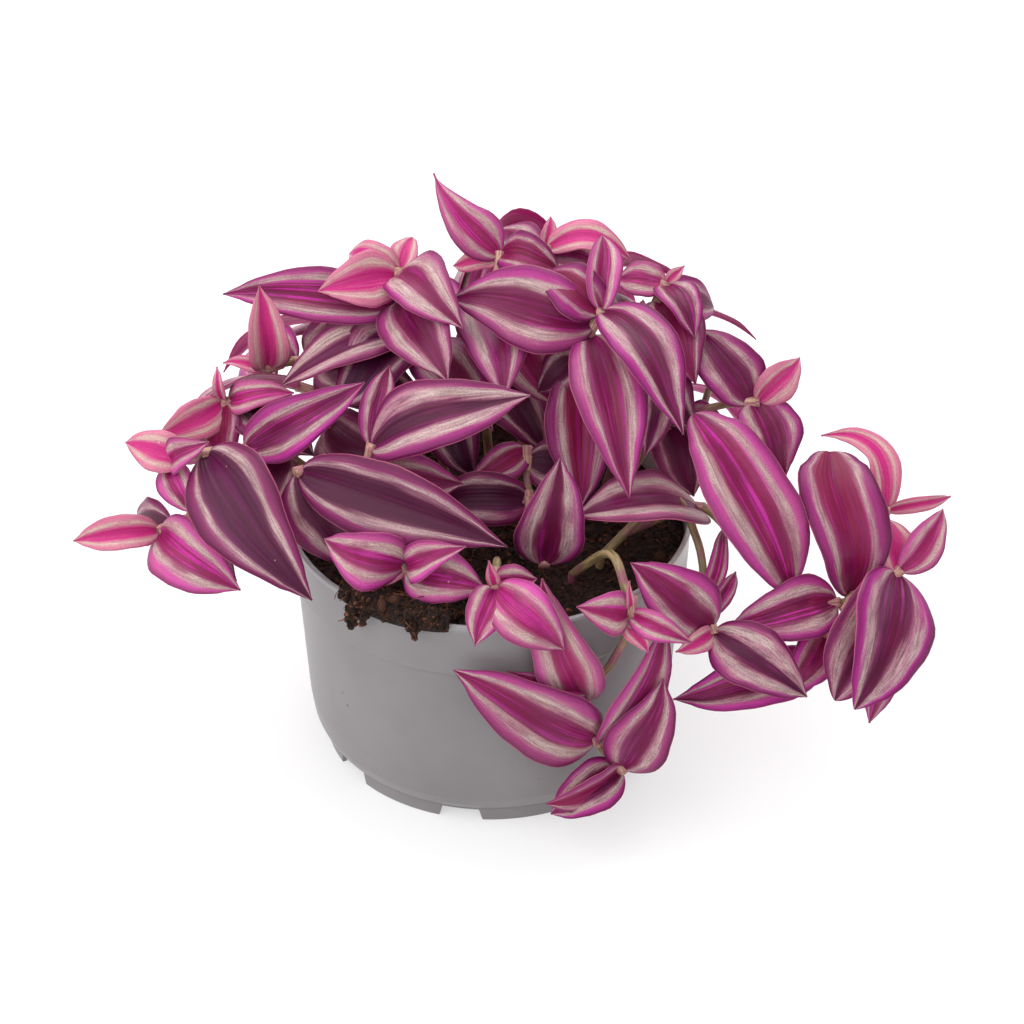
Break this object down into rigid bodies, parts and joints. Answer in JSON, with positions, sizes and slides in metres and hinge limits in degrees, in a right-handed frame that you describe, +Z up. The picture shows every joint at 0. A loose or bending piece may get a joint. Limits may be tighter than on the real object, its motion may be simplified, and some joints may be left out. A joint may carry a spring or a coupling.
{
  "type": "potted plant",
  "caption": "Trailing houseplant with striped pointed leaves on soft stems that mound over and hang from a round tapered nursery pot filled with soil.",
  "frame": {"origin": "on the surface that the pot stands on, under the centre of its base", "axes": "+Z up, +X to the right of the side with the trailing stems, -Y towards a viewer in front"},
  "size_m": [0.2577, 0.1793, 0.1584],
  "materials": {
    "pot_plastic": "satin grey moulded plastic",
    "soil": null,
    "leaf": null
  },
  "bodies": {
    "root": {"pot": "pot_plastic", "soil": "soil", "stem_crown_left": "leaf", "stem_top": "leaf", "stem_top_back": "leaf", "stem_centre_right": "leaf", "stem_right_top": "leaf", "stem_right": "leaf", "stem_trail_right": "leaf", "stem_lower_right": "leaf", "stem_front_right": "leaf", "stem_front_centre": "leaf", "stem_front_left": "leaf", "stem_left_low": "leaf", "stem_left_mid": "leaf", "stem_left_upper": "leaf", "stem_left_top": "leaf", "stem_middle_left": "leaf", "stem_centre_upright": "leaf", "stem_back_1": "leaf", "stem_back_2": "leaf", "stem_back_3": "leaf", "stem_back_4": "leaf", "stem_back_5": "leaf", "stem_back_6": "leaf"}
  },
  "joints": []
}
